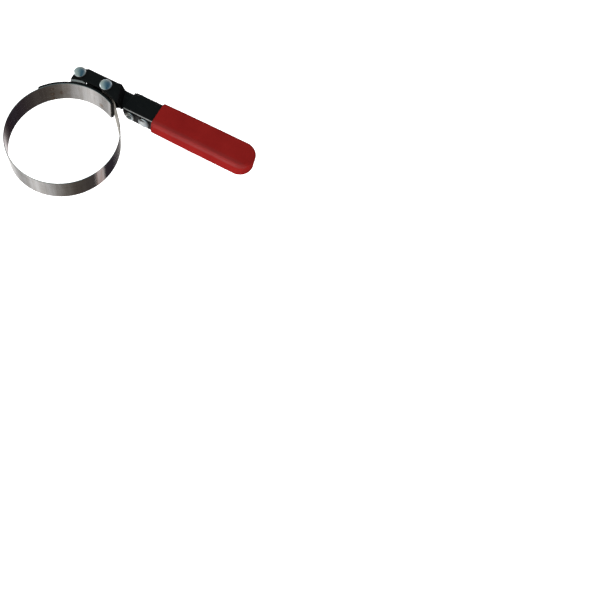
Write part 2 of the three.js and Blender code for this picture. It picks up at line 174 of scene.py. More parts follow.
def band_material():
    m = Nodes("spring_steel_brushed")
    uv = m.uv()
    grain = m.noise(m.mapped(uv, (2.2, 260, 1)), 1.0, 5, 0.62)          # hairlines along the strip
    fine = m.noise(m.mapped(uv, (9, 900, 1)), 1.0, 2, 0.5)
    cloud = m.noise(m.mapped(uv, (7.0, 16, 1)), 1.0, 4, 0.6, 0.6)       # rolling and handling marks
    stain = m.noise(m.mapped(uv, (3.0, 7, 1), (4.1, 2.3, 0)), 1.0, 3, 0.55, 0.3)
    base = m.mix(m.ramp(cloud, [(0.3, 0.0), (0.72, 1.0)]), (0.52, 0.485, 0.455), (0.67, 0.64, 0.615))
    base = m.mix(m.math("MULTIPLY", m.ramp(grain, [(0.4, 0.0), (0.7, 1.0)]), 0.35), base, (0.74, 0.73, 0.72))
    base = m.mix(m.math("MULTIPLY", m.ramp(stain, [(0.52, 0.0), (0.75, 1.0)]), 0.5), base, (0.47, 0.40, 0.35))
    # heat tint round the spot welds, straw outside and purple brown inside
    heat = m.attr("weldmark")
    base = m.mix(m.ramp(heat, [(0.05, 0.0), (0.40, 0.85)]), base, (0.30, 0.19, 0.12))
    base = m.mix(m.ramp(heat, [(0.55, 0.0), (0.80, 0.9)]), base, (0.62, 0.52, 0.44))
    rough = m.math("ADD", m.math("MULTIPLY", cloud, 0.16), m.math("MULTIPLY", grain, 0.14))
    rough = m.math("ADD", rough, 0.07, clamp=True)
    rough = m.math("MAXIMUM", rough, m.math("MULTIPLY", m.ramp(heat, [(0.10, 0.0), (0.55, 1.0)]), 0.50))
    # scuff patch on the outside of the band: rougher, pinkish and less metallic; partly a real scuff, partly a painted
    # pinkish reflection
    scuff = m.attr("scuff")
    scuff_and_painted_reflection = m.math("MULTIPLY", scuff, m.ramp(grain, [(0.30, 0.55), (0.62, 1.0)]))
    base = m.mix(scuff_and_painted_reflection, base, (0.58, 0.32, 0.26))
    rough = m.math("MAXIMUM", rough, m.math("MULTIPLY", scuff_and_painted_reflection, 0.62))
    streaks = m.noise(m.mapped(uv, (16, 1.2, 1), (0.7, 0.2, 0)), 1.0, 4, 0.6)
    base = m.mix(m.math("MULTIPLY", m.ramp(streaks, [(0.42, 0.0), (0.60, 1.0)]), 0.55), base, (0.86, 0.85, 0.85))
    nrm = m.bump(grain, 0.10, 0.00003)
    nrm = m.bump(fine, 0.05, 0.00001, nrm)
    nrm = m.bump(cloud, 0.10, 0.00012, nrm)
    tarnish = m.math("MULTIPLY", m.attr("tarnish"), m.ramp(cloud, [(0.25, 0.5), (0.6, 1.0)]))
    base = m.mix(tarnish, base, (0.44, 0.27, 0.31))
    # tail and inner wall of the right side darkened to dull brown and made less metallic: painted shade
    base = m.mix(m.math("MULTIPLY", m.attr("painted_shade"), m.ramp(cloud, [(0.25, 0.8), (0.6, 1.0)])), base, (0.125, 0.113, 0.088))
    metal = m.math("SUBTRACT", 1.0, m.math("MAXIMUM", m.math("MULTIPLY", scuff_and_painted_reflection, 0.5), m.math("MULTIPLY", m.attr("painted_shade"), 0.88)))
    return m.set(Base_Color=base, Metallic=metal, Roughness=rough, Normal=nrm, Specular_IOR_Level=0.0)


def black_material():
    m = Nodes("satin_black_steel")
    o = m.obj()
    peel = m.noise(m.mapped(o, (1, 1, 1)), 900, 3, 0.55)
    cloud = m.noise(o, 70, 4, 0.6)
    scuff = m.noise(m.mapped(o, (180, 900, 500)), 1.0, 4, 0.65)
    base = m.mix(cloud, (0.0016, 0.0019, 0.0019), (0.0034, 0.0038, 0.0038))
    # wear attribute: real rim and bend wear, plus painted highlight lines on the handle channel and bracket bends,
    # drawn as bare metal
    wear_and_highlight = m.attr("wear_and_highlight")
    chips = m.noise(o, 420, 5, 0.7)
    bare_and_highlight = m.math("SUBTRACT", m.math("ADD", wear_and_highlight, m.math("MULTIPLY", chips, 0.9)), 1.02)
    bare_and_highlight = m.math("MULTIPLY", bare_and_highlight, 3.2, clamp=True)
    streak = m.math("MULTIPLY", m.ramp(scuff, [(0.60, 0.0), (0.80, 1.0)]), 0.03)
    bare_and_highlight = m.math("MAXIMUM", bare_and_highlight, streak)
    base = m.mix(bare_and_highlight, base, (0.56, 0.56, 0.56))
    rough = m.math("ADD", m.math("MULTIPLY", cloud, 0.14), 0.36)
    nrm = m.bump(peel, 0.12, 0.00006)
    return m.set(Base_Color=base, Metallic=bare_and_highlight, Roughness=rough, Normal=nrm, Specular_IOR_Level=0.20)


def zinc_material():
    m = Nodes("bright_zinc_plate")
    o = m.obj()
    cloud = m.noise(o, 160, 4, 0.6)
    tint = m.noise(m.mapped(o, (1, 1, 1), (3, 1, 2)), 95, 3, 0.5, 0.8)
    grit = m.noise(o, 1400, 3, 0.6)
    base = m.mix(m.ramp(tint, [(0.35, 0.0), (0.62, 1.0)]), (0.60, 0.70, 0.78), (0.76, 0.78, 0.76))
    base = m.mix(m.math("MULTIPLY", m.ramp(cloud, [(0.55, 0.0), (0.8, 1.0)]), 0.45), base, (0.52, 0.52, 0.48))
    rough = m.math("ADD", m.math("MULTIPLY", cloud, 0.20), 0.13)
    nrm = m.bump(grit, 0.10, 0.00003)
    nrm = m.bump(cloud, 0.12, 0.00015, nrm)
    return m.set(Base_Color=base, Metallic=1.0, Roughness=rough, Normal=nrm)


def vinyl_material():
    m = Nodes("dipped_red_vinyl")
    o = m.obj()
    cloud = m.noise(o, 45, 4, 0.55)
    pore = m.noise(o, 1500, 3, 0.6)
    flow = m.noise(m.mapped(o, (60, 170, 170)), 1.0, 3, 0.5)
    base = m.mix(m.ramp(cloud, [(0.3, 0.0), (0.7, 1.0)]), (0.176, 0.0092, 0.0086), (0.214, 0.0122, 0.0108))
    dirt = m.noise(o, 260, 5, 0.7)
    base = m.mix(m.math("MULTIPLY", m.ramp(dirt, [(0.60, 0.0), (0.78, 1.0)]), 0.25), base, (0.11, 0.008, 0.009))
    rough = m.math("ADD", m.math("MULTIPLY", cloud, 0.12), 0.36)
    nrm = m.bump(pore, 0.10, 0.00005)
    nrm = m.bump(flow, 0.25, 0.0004, nrm)
    polish = m.math("MULTIPLY", m.attr("polish"), 0.20)      # handling has polished the upper edges
    return m.set(Base_Color=base, Roughness=rough, Normal=nrm, Specular_IOR_Level=polish)


def floor_material():
    m = Nodes("pale_paper")
    o = m.obj()
    c = m.noise(o, 30, 3, 0.5)
    base = m.mix(c, (0.91, 0.91, 0.91), (0.93, 0.93, 0.93))
    return m.set(Base_Color=base, Roughness=0.95, Specular_IOR_Level=0.0, Emission_Color=(1.0, 1.0, 1.0), Emission_Strength=0.85)


STEEL, BLACK, ZINC, VINYL = band_material(), black_material(), zinc_material(), vinyl_material()


# ------------------------------------------------------------------ mesh building
def make(name, verts, faces, mat, body=None, slot=None, replaces=(), uv=None, attrs=None, sharp=38):
    me = bpy.data.meshes.new(name)
    me.from_pydata([tuple(v) for v in verts], [], [tuple(f) for f in faces])
    me.validate()
    me.update()
    me.polygons.foreach_set("use_smooth", [True] * len(me.polygons))
    me.set_sharp_from_angle(angle=math.radians(sharp))
    if uv is not None:
        layer = me.uv_layers.new(name="grain")
        idx = np.empty(len(me.loops), np.int32)
        me.loops.foreach_get("vertex_index", idx)
        layer.data.foreach_set("uv", np.asarray(uv, np.float32)[idx].ravel())
    for k, vals in (attrs or {}).items():
        a = me.attributes.new(k, "FLOAT", "POINT")
        a.data.foreach_set("value", np.asarray(vals, np.float32))
    me.materials.append(mat)
    ob = bpy.data.objects.new(name, me)
    bpy.context.scene.collection.objects.link(ob)
    if replaces:
        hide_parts(*replaces)
    if body:
        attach(ob, body)
    return ob


def fillet(pts, radius, n=4, limit=18):
    """rounds the corners of a closed outline; a point may carry its own radius as a third value"""
    out = []
    N = len(pts)
    for i in range(N):
        p, a, b = np.array(pts[i][:2], float), np.array(pts[i - 1][:2], float), np.array(pts[(i + 1) % N][:2], float)
        r = pts[i][2] if len(pts[i]) > 2 else radius
        u, v = a - p, b - p
        lu, lv = np.linalg.norm(u), np.linalg.norm(v)
        u, v = u / lu, v / lv
        ang = math.acos(max(-1, min(1, float(u @ v))))
        if r <= 0 or ang > math.radians(180 - limit):
            out.append(tuple(p))
            continue
        d = min(r / math.tan(ang / 2), 0.48 * lu, 0.48 * lv)
        r = d * math.tan(ang / 2)
        c = p + (u + v) / np.linalg.norm(u + v) * (r / math.sin(ang / 2))
        s, e = p + u * d - c, p + v * d - c
        a0, a1 = math.atan2(s[1], s[0]), math.atan2(e[1], e[0])
        da = (a1 - a0 + math.pi) % (2 * math.pi) - math.pi
        for k in range(n + 1):
            q = a0 + da * k / n
            out.append((c[0] + r * math.cos(q), c[1] + r * math.sin(q)))
    return out


def resample(pts, step):
    out = []
    N = len(pts)
    for i in range(N):
        a, b = np.array(pts[i], float), np.array(pts[(i + 1) % N], float)
        L = np.linalg.norm(b - a)
        if L < 1e-6:
            continue
        k = max(1, int(math.ceil(L / step)))
        for j in range(k):
            out.append(tuple(a + (b - a) * j / k))
    return out


def inside(loops, q):
    q = np.asarray(q, float)
    res = np.zeros(len(q), bool)
    for lp in loops:
        a = np.asarray(lp, float)
        b = np.roll(a, -1, 0)
        for (x0, y0), (x1, y1) in zip(a, b):
            if y0 == y1:
                continue
            c = ((q[:, 1] >= y0) != (q[:, 1] >= y1))
            x = x0 + (q[:, 1] - y0) / (y1 - y0) * (x1 - x0)
            res ^= c & (q[:, 0] < x)
    return res


def plate(name, outline, holes, mapper, T, e=0.3, K=3, step=0.7, grid=(), wear_and_highlight=None, insets=None, **kw):
    """A closed sheet of thickness T on the surface mapper(u, v), with its rims rounded by radius e.
    The outline runs anticlockwise in (u, v) and the holes clockwise."""
    loops = [resample(outline, step)] + [resample(h, step * 0.8) for h in holes]
    insets_all = []
    for li, lp in enumerate(loops):
        a = np.asarray(lp)
        d = np.roll(a, -1, 0) - a
        d /= np.linalg.norm(d, axis=1)[:, None]
        nl = np.stack([-d[:, 1], d[:, 0]], 1)
        nv = nl + np.roll(nl, 1, 0)
        L = np.linalg.norm(nv, axis=1)
        nv /= np.maximum(L, 1e-6)[:, None]
        nv *= np.minimum(1 / np.maximum(L / 2, 0.5), 1.5)[:, None]
        if insets and li == 0:
            nv = np.array([insets(p, v) for p, v in zip(a, nv)])
        insets_all.append(nv)

    def frame_at(u, v, eps=0.02):
        c = Vector(mapper(u, v))
        du = Vector(mapper(u + eps, v)) - Vector(mapper(u - eps, v))
        dv = Vector(mapper(u, v + eps)) - Vector(mapper(u, v - eps))
        return c, du.cross(dv).normalized()

    verts, par, rim = [], [], []

    def vert(u, v, h, w):
        c, n = frame_at(u, v)
        q = c + n * h
        verts.append(P(*q))
        par.append((u, v))
        rim.append(w)
        return len(verts) - 1

    faces = []
    flat_loops, rings_top, rings_bot = [], [], []
    for lp, nv in zip(loops, insets_all):
        flat_loops.append([tuple(np.array(p) + d * e) for p, d in zip(lp, nv)])
    for side in (1, -1):
        tops = []
        for li, (lp, nv) in enumerate(zip(loops, insets_all)):
            prev = None
            for k in range(K + 1):
                a = math.pi / 2 * k / K
                ins, h = e * (1 - math.cos(a)), side * (T / 2 - e + e * math.sin(a))
                ring = [vert(p[0] + d[0] * ins, p[1] + d[1] * ins, h, 0.28 if k < K else 0.12) for p, d in zip(lp, nv)]
                if prev is not None:
                    for i in range(len(ring)):
                        j = (i + 1) % len(ring)
                        f = (prev[i], prev[j], ring[j], ring[i])
                        faces.append(f if side > 0 else f[::-1])
                else:
                    (rings_top if side > 0 else rings_bot).append(ring)
                prev = ring
            tops.append(prev)
        # flat face from a constrained triangulation
        pts, ids, edges = [], [], []
        for lp, ring in zip(flat_loops, tops):
            o = len(pts)
            pts += lp
            ids += ring
            edges += [(o + i, o + (i + 1) % len(lp)) for i in range(len(lp))]
        if side > 0:
            g = [q for q in grid]
            if g:
                ok = inside(flat_loops, g)
                arr = np.asarray(pts)
                keep = []
                for q, k_ in zip(g, ok):
                    if k_ and np.min(np.sum((arr - np.asarray(q)) ** 2, 1)) > (0.42 * step) ** 2:
                        keep.append(q)
                g = keep
            allp = [Vector(p) for p in pts + g]
            res = delaunay_2d_cdt(allp, edges, [], 0, 1e-6, True)
            out_v, tris, orig = res[0], res[2], res[3]
            cent = [((out_v[f[0]] + out_v[f[1]] + out_v[f[2]]) / 3)[:] for f in tris]
            keep_t = [f for f, k_ in zip(tris, inside(flat_loops, cent)) if k_]
            npts = len(pts)
        table = {}
        for j, v in enumerate(out_v):
            src = [i for i in orig[j] if i < npts]
            if src:
                table[j] = ids[src[0]]
        for f in keep_t:
            idx = []
            for j in f:
                if j not in table:
                    table[j] = vert(out_v[j].x, out_v[j].y, side * T / 2, 0.0)
                idx.append(table[j])
            faces.append(tuple(idx) if side > 0 else tuple(idx[::-1]))
    for rt, rb in zip(rings_top, rings_bot):
        for i in range(len(rt)):
            j = (i + 1) % len(rt)
            faces.append((rb[i], rb[j], rt[j], rt[i]))
    w = [max(r, wear_and_highlight(*p) if wear_and_highlight else 0.0) for r, p in zip(rim, par)]
    return make(name, verts, faces, kw.pop("mat"), attrs={"wear_and_highlight": w}, **kw)


def lathe(name, profile, origin, axis, mat, segs=64, **kw):
    """profile of (radius, height) closed on the axis or as a ring, turned about axis through origin"""
    ax = Vector(axis).normalized()
    x = Vector((1, 0, 0)) if abs(ax.x) < 0.9 else Vector((0, 1, 0))
    x = (x - ax * x.dot(ax)).normalized()
    y = ax.cross(x)
    o = Vector(origin)
    ring = profile[0][0] > 1e-6
    verts, rows = [], []
    for r, h in profile:
        if r < 1e-6:
            verts.append(P(*(o + ax * h)))
            rows.append([len(verts) - 1])
            continue
        row = []
        for i in range(segs):
            a = 2 * math.pi * i / segs
            verts.append(P(*(o + ax * h + (x * math.cos(a) + y * math.sin(a)) * r)))
            row.append(len(verts) - 1)
        rows.append(row)
    pairs = list(zip(rows, rows[1:])) + ([(rows[-1], rows[0])] if ring else [])
    faces = []
    for a, b in pairs:
        for i in range(segs):
            j = (i + 1) % segs
            if len(a) == 1 and len(b) == 1:
                continue
            if len(a) == 1:
                faces.append((a[0], b[j], b[i]))
            elif len(b) == 1:
                faces.append((a[i], a[j], b[0]))
            else:
                faces.append((a[i], a[j], b[j], b[i]))
    return make(name, verts, faces, mat, **kw)


def soft_profile(pts, r=0.15, n=3, closed=False):
    """rounds the inner corners of an open profile"""
    out = [pts[0]] if not closed else []
    rng = range(len(pts)) if closed else range(1, len(pts) - 1)
    for i in rng:
        p = np.array(pts[i][:2], float)
        a = np.array(pts[i - 1][:2], float)
        b = np.array(pts[(i + 1) % len(pts)][:2], float)
        rr = pts[i][2] if len(pts[i]) > 2 else r
        u, v = a - p, b - p
        lu, lv = np.linalg.norm(u), np.linalg.norm(v)
        d = min(rr, 0.45 * lu, 0.45 * lv)
        s, e = p + u / lu * d, p + v / lv * d
        for k in range(n + 1):
            q = k / n
            out.append(tuple((1 - q) ** 2 * s + 2 * q * (1 - q) * p + q * q * e))
    if not closed:
        out.append(pts[-1])
    return [(float(a), float(b)) for a, b in [o[:2] for o in out]]


def ring_profile(ri, ro, h0, h1, r=0.15):
    return soft_profile([(ri, h0), (ro, h0), (ro, h1), (ri, h1)], r, 3, closed=True)


def circle(cu, cv, r, n=36):
    return [(cu + r * math.cos(-2 * math.pi * i / n), cv + r * math.sin(-2 * math.pi * i / n)) for i in range(n)]


# ------------------------------------------------------------------ the strip
R_BAND, T_BAND, HB = 47.0, 0.7, 11.15
P1, P2 = (-17.7, 55.3), (8.1, 55.0)
EYE_R = 3.8
TAN = 402.6
ux, uy = pol(1, TAN)
dx, dy = -uy, ux


def arc_path(a0, a1, step=0.7):
    n = max(2, int(math.ceil(abs(a1 - a0) / step)))
    return [(*pol(R_BAND, a0 + (a1 - a0) * i / n), a0 + (a1 - a0) * i / n) for i in range(n + 1)]


def tail_path():
    T = pol(R_BAND, TAN)
    run = (P2[0] - T[0]) * dx + (P2[1] - T[1]) * dy
    pts = [(T[0] + dx * run * i / 40, T[1] + dy * run * i / 40) for i in range(1, 41)]

    def near(ds, du):
        return (P2[0] + dx * ds + ux * du, P2[1] + dy * ds + uy * du)

    for i in range(1, 57):                       # roll round the pin
        a = math.radians(90 - 224.6 * i / 56)
        pts.append(near(EYE_R * math.cos(a), EYE_R * math.sin(a)))
    q0, q1 = np.array(near(EYE_R * math.cos(math.radians(-134.6)), EYE_R * math.sin(math.radians(-134.6)))), np.array(near(-8.5, 3.02))
    q2 = np.array(near(-15.4, 3.02))
    c0, c1 = q1 + (q0 - q1) * 0.35, q1 + (q2 - q1) * 0.35
    for i in range(1, 10):
        pts.append(tuple(q0 + (c0 - q0) * i / 9))
    for i in range(1, 11):
        k = i / 10
        pts.append(tuple((1 - k) ** 2 * c0 + 2 * k * (1 - k) * q1 + k * k * c1))
    for i in range(1, 9):
        pts.append(tuple(c1 + (q2 - c1) * i / 8))
    return pts


WELDS = [(135.0, 5.3, 1.25, 0.95), (135.1, -2.1, 1.25, 0.95), (135.3, -8.4, 1.25, 0.95), (124.0, -1.8, 2.0, 0.50), (79.7, -4.8, 1.6, 0.55)]


def strip(name, path, **kw):
    """sweeps the rounded section of the strip along path, which has (t, n) or (t, n, angle) points"""
    e, K = 0.2, 3
    # section: (offset from the mid surface, z), anticlockwise seen against the sweep
    rows = 28
    zs = [-(HB - e) + 2 * (HB - e) * i / rows for i in range(rows + 1)]
    sec = [(T_BAND / 2, z) for z in zs]
    for k in range(1, K + 1):
        a = math.pi / 2 * k / K
        sec.append((T_BAND / 2 - e + e * math.cos(a), HB - e + e * math.sin(a)))
    for k in range(0, K):
        a = math.pi / 2 * k / K
        sec.append((-(T_BAND / 2 - e) - e * math.sin(a), HB - e + e * math.cos(a)))
    sec += [(-T_BAND / 2, z) for z in reversed(zs)]
    for k in range(1, K + 1):
        a = math.pi / 2 * k / K
        sec.append((-(T_BAND / 2 - e) - e * math.cos(a), -(HB - e) - e * math.sin(a)))
    for k in range(0, K):
        a = math.pi / 2 * k / K
        sec.append((T_BAND / 2 - e + e * math.sin(a), -(HB - e) - e * math.cos(a)))
    pts = np.array([p[:2] for p in path], float)
    tan = np.gradient(pts, axis=0)
    if len(path[0]) > 2:                        # the ends follow the true tangent, so that neighbours meet
        for i in (0, -1):
            if len(path[i]) > 2 and path[i][2] is not None:
                a = math.radians(path[i][2])
                tan[i] = (-math.sin(a), math.cos(a))
    tan /= np.linalg.norm(tan, axis=1)[:, None]
    nrm = np.stack([tan[:, 1], -tan[:, 0]], 1)
    s = np.concatenate([[0], np.cumsum(np.linalg.norm(np.diff(pts, axis=0), axis=1))])
    start = kw.pop("s0", 0.0)
    verts, uv, heat, scuff, tarnish, painted_shade = [], [], [], [], [], []
    m = len(sec)
    for i, p in enumerate(pts):
        ang = path[i][2] if len(path[i]) > 2 else None
        for o, z in sec:
            off, ht = o, 0.0
            if ang is not None and o < 0 and abs(z) < HB - e + 1e-6:
                for wa, wz, wr, wd in WELDS:
                    d = math.hypot(math.radians(ang - wa) * R_BAND, z - wz) / wr
                    if d < 3.2:
                        off += 0.10 * wd * math.exp(-(d * 1.15) ** 2) - 0.035 * wd * math.exp(-((d - 1.25) * 3.0) ** 2)
                        ht = max(ht, wd * math.exp(-(d / 1.35) ** 2))
            verts.append(P(p[0] + nrm[i][0] * off, p[1] + nrm[i][1] * off, z))
            uv.append(((start + s[i]) / 100, (z + (40 if o < 0 else 0)) / 100))
            heat.append(ht)
            # scuff mask on the outer face: partly a real scuff, partly a painted pinkish reflection
            scuff_and_reflection_mask = 0.0
            if ang is not None and o > 0:
                a_ = ang % 360
                scuff_and_reflection_mask = smooth((a_ - 334.0) / 7.0) * smooth((350.0 - a_) / 5.0) * 0.85
            scuff.append(scuff_and_reflection_mask)
            # darkening mask for the tail and the inner wall of the right side: painted shade
            painted_shade.append(0.9 if ang is None else (0.9 if o < 0 else 0.15) * smooth((((ang + 180.0) % 360) - 180.0 + 2.0) / 22.0) * smooth((62.0 - (((ang + 180.0) % 360) - 180.0)) / 2.0))
            tarnish.append(0.0 if ang is None else 0.75 * smooth(((ang % 360) - 184.0) / 14.0) * smooth((232.0 - (ang % 360)) / 12.0) * (1.0 if o < 0 else 0.6))
    faces = []
    for i in range(len(pts) - 1):
        for j in range(m):
            k = (j + 1) % m
            faces.append((i * m + j, (i + 1) * m + j, (i + 1) * m + k, i * m + k))
    faces.append(tuple(range(m)))
    faces.append(tuple((len(pts) - 1) * m + j for j in reversed(range(m))))
    # the scuff attribute carries a scuff that is partly a painted pinkish reflection; painted_shade is painted shade
    return make(name, verts, faces, STEEL, slot="band_steel", uv=uv, attrs={"weldmark": heat, "scuff": scuff, "tarnish": tarnish, "painted_shade": painted_shade}, **kw)


dense = [(*pol(R_BAND, a), a) for a in np.concatenate([
    np.arange(64.7, 71.5, 0.7), np.arange(71.5, 77.6, 0.35), np.arange(77.6, 121.0, 0.7),
    np.arange(121.0, 138.2, 0.35), np.arange(138.2, 198.8, 0.7), [199.0]])]
s0 = strip("band_strip_a", dense, replaces=("band_fixed",))
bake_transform(s0)
s1 = strip("band_strip_b", arc_path(199, 277), replaces=("band_flex_a", "band_flex_b"), s0=math.radians(199 - 64.7) * R_BAND)
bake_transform(s1)
s2 = strip("band_strip_c", arc_path(277, TAN) + [(x, y, None) for x, y in tail_path()], replaces=("band_end",),
           s0=math.radians(277 - 64.7) * R_BAND)
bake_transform(s2)


# ------------------------------------------------------------------ shoe and bracket
SH = 48.45
k0, k1 = math.radians(63.7) * SH, math.radians(147.7) * SH
shoe_grid = [(k0 + (k1 - k0) * i / 84, -10 + 20 * j / 8) for i in range(1, 84) for j in range(9)]
plate("backing_shoe_plate", fillet([(k0, -11.15), (k1, -11.15), (k1, 11.15), (k0, 11.15)], 1.6, 6), [],
      lambda u, v: (SH * math.cos(u / SH), SH * math.sin(u / SH), v), 1.6, e=0.3, step=0.9, grid=shoe_grid,
      mat=BLACK, slot="black_steel", replaces=("backing_shoe",), body="loop_root",
      wear_and_highlight=lambda u, v: 0.0)

aP, rP = math.atan2(P1[1], P1[0]), math.hypot(*P1)
BR, BZ, BB = 1.6, 10.6, 9.0
BL = BR * math.pi / 2


def base_r(s):
    return math.sqrt(50.40 ** 2 - s * s)


def bracket(s, v):
    a, sg = abs(v), (1 if v >= 0 else -1)
    r0 = base_r(s)
    if a <= BB or s > 7.0:
        z, r = a, r0
    elif a <= BB + BL:
        th = (a - BB) / BR
        z, r = BB + BR * math.sin(th), r0 + BR * (1 - math.cos(th))
    else:
        z, r = BZ, r0 + BR + (a - BB - BL)
    return (r * math.cos(aP) + s * math.sin(aP), r * math.sin(aP) - s * math.cos(aP), sg * z)


def ear_v(s, r):
    return BB + BL + (r - base_r(s) - BR)


half = [(6.5, 0.0), (6.5, ear_v(6.5, 52.6)), (5.4, ear_v(5.4, rP - 1))]
half += [(5.0 * math.cos(math.radians(a)), ear_v(5.0 * math.cos(math.radians(a)), rP + 5.0 * math.sin(math.radians(a)))) for a in range(8, 90, 9)]
W1 = 50.4 * math.sin(math.radians(17.0))       # end of the foot under the lever
foot = [(W1, 0.0), (W1, 11.1, 1.2), (7.7, 11.1, 0.3), (7.7, 8.5, 0.3), (6.5, 8.5, 0.2)]
top = foot + half[1:] + [(-s, v) for s, v in reversed(half[1:])] + [(-6.5, 0.0)]
out = top + [(p_[0], -p_[1]) + tuple(p_[2:]) for p_ in reversed(top[1:-1])]
bv = [(-6.0 + i, s_ * v) for i in range(13) for v in [1.5, 3.5, 5.5, 7.5, 9.0, 9.5, 10.0, 10.5, 11.0, 11.5, 12.5, 14, 16] for s_ in (1, -1)]
bv += [(i, v) for i in np.arange(7.8, W1, 1.0) for v in (-9.5, -7, -4.5, -2, 0.1, 2, 4.5, 7, 9.5)]
plate("pivot_bracket_plate", fillet(out, 0.8), [circle(0, ear_v(0, rP), 3.1), circle(0, -ear_v(0, rP), 3.1)],
      bracket, 1.6, e=0.3, step=0.6, grid=bv, mat=BLACK, slot="black_steel", replaces=("pivot_bracket",), body="loop_root",
      # the bright line on the bend at the root of each ear is a painted highlight; the faint line along the foot edge
      # is edge wear drawn brighter as a painted highlight
      wear_and_highlight=lambda s, v: (1.8 if s < 6.3 else 0.0) * math.exp(-((abs(v) - BB - BL * 0.45) / 1.0) ** 2)
      + (0.45 * math.exp(-((abs(v) - 11.0) / 0.4) ** 2) if s > 6.9 else 0.0))


# ------------------------------------------------------------------ lever
LEAN, LTOP = 0.37, 63.0
wide, narrow, JA, JB, JR = 12.8, 3.6, 18.0, 21.6, 1.8
turn = math.atan2(wide - narrow, JB - JA)
back = JR * math.tan(turn / 2)
lp = [(-60.0, wide)]
for i in range(13):
    a = turn * i / 12
    lp.append((JA - back + JR * math.sin(a), wide - JR * (1 - math.cos(a))))
for i in range(13):
    a = turn * (1 - i / 12)
    lp.append((JB + back - JR * math.sin(a), narrow + JR * (1 - math.cos(a))))
lp.append((80.0, narrow))
LPX, LPW = [p[0] for p in lp], [p[1] for p in lp]
LR = 1.2
LL = LR * math.pi / 2
U_FLAT = 31.75


def lw(u):
    return float(np.interp(u, LPX, LPW))


def ln(u):
    return 62.2 + 1.8 * smooth((u - 15.0) / 7.0)


def lever_map(u, v):
    w, N = lw(u), ln(u)
    a, sg = abs(v), (1 if v >= 0 else -1)
    B = w - LR
    if u > U_FLAT or a <= B:
        z, n = a, N
    elif a <= B + LL:
        th = (a - B) / LR
        z, n = B + LR * math.sin(th), N - LR + LR * math.cos(th)
    else:
        z, n = w, N - LR - (a - B - LL)
    return (u + LEAN * (LTOP - n), n, sg * z)


def lev(t, n):
    u = t - LEAN * (LTOP - n)
    return (u, lw(u) - LR + LL + (ln(u) - LR - n))


LUG_R = 5.3
cu = 36.4 + LEAN * (64.0 - LTOP)
top = [(cu + 4.4 * math.cos(math.radians(a)), 4.4 * math.sin(math.radians(a)), 0) for a in range(10, 91, 8)]
top += [(32.2, 4.4), (32.2, 2.45, 0.2), (31.7, 2.45, 0.1), (31.3, 2.4 + LL, 0)]
top += [(*lev(31.0, n), 0) for n in (61, 58, 55)] + [(*lev(31.0, 52.0), 0.8), lev(30.0, 50.2), lev(29.05, 49.3), (*lev(29.0, 48.0), 0), lev(28.6, 47.1), lev(27.4, 46.4), lev(26.1, 45.9), (*lev(24.5, 46.1), 0.5)]
t = 22.8
while t > -10.01:
    top.append((*lev(t, math.sqrt(50.2 ** 2 - t * t)), 0))
    t -= 1.312
top += [(*lev(P1[0] + LUG_R * math.cos(math.radians(a)), P1[1] + LUG_R * math.sin(math.radians(a))), 0) for a in range(288, 89, -9)]
top += [lev(P1[0] + 1.4, 60.6), lev(-14.2, 61.4), (-13.6, wide - LR, 0.9)]
# the lower flange is cut back along the joggle
relief = [(31.0, 52.02), (28.6, 52.3), (27.0, 53.4), (26.1, 54.4), (25.0, 55.1), (23.4, 55.5), (21.4, 55.6), (19.9, 55.5), (19.0, 55.2), (18.0, 54.5), (17.0, 53.2), (14.6, 50.3), (13.8, 49.4), (12.6, 48.8), (11.4, math.sqrt(50.2 ** 2 - 11.4 ** 2))]
i0 = [i for i, p in enumerate(top) if p[:2] == lev(31.0, 52.0)][0]
i1 = [i for i, p in enumerate(top) if p[0] < lev(11.0, 49.0)[0]][0]
i1 = max(i for i in range(i0, len(top)) if top[i][0] > lev(11.0, 49.0)[0] and i < i0 + 40) + 1
bot = top[:i0]
for (a0, b0), (a1, b1) in zip(relief, relief[1:]):
    m_ = max(1, int(math.hypot(a1 - a0, b1 - b0) / 0.7))
    bot += [(*lev(a0 + (a1 - a0) * j / m_, b0 + (b1 - b0) * j / m_), 0.8 if (a0 == 31.0 and j == 0) else 0) for j in range(m_)]
bot += top[i1:]
out = [(cu + 4.4, 0.0, 0)] + top + [(p[0], -p[1]) + tuple(p[2:]) for p in reversed(bot)]
lg = []
for u in list(np.arange(-22, 14.5, 1.4)) + list(np.arange(14.6, 24.6, 0.35)) + list(np.arange(25, 31.4, 0.8)):
    w = lw(u)
    for q in (0, 0.2, 0.4, 0.6, 0.8, 0.92, 1.0):
        lg.append((u, (w - LR) * q))
    for q in (0.2, 0.4, 0.6, 0.8, 1.0):
        lg.append((u, w - LR + LL * q))
    for d in (0.6, 1.4, 2.6, 4, 5.6, 7.2, 8.8, 10.4, 12.0, 13.4):
        lg.append((u, w - LR + LL + d))
lg += [(u, v) for u in np.arange(32.6, 41, 1.1) for v in (0, 1.3, 2.6, 3.6)]
lg += [(u, -v) for u, v in lg if v > 1e-6]
h1 = [lev(P1[0] + 3.1 * math.cos(a), P1[1] + 3.1 * math.sin(a)) for a in [2 * math.pi * i / 36 for i in range(36)]]
h2 = [lev(P2[0] + 2.4 * math.cos(a), P2[1] + 2.4 * math.sin(a)) for a in [2 * math.pi * i / 32 for i in range(32)]]


def cw(h):
    area = sum(a[0] * b[1] - b[0] * a[1] for a, b in zip(h, h[1:] + h[:1]))
    return h if area < 0 else h[::-1]


lever_holes = [cw(h1), cw(h2), cw([(u, -v) for u, v in h1]), cw([(u, -v) for u, v in h2]), circle(cu, 0, 2.95)]


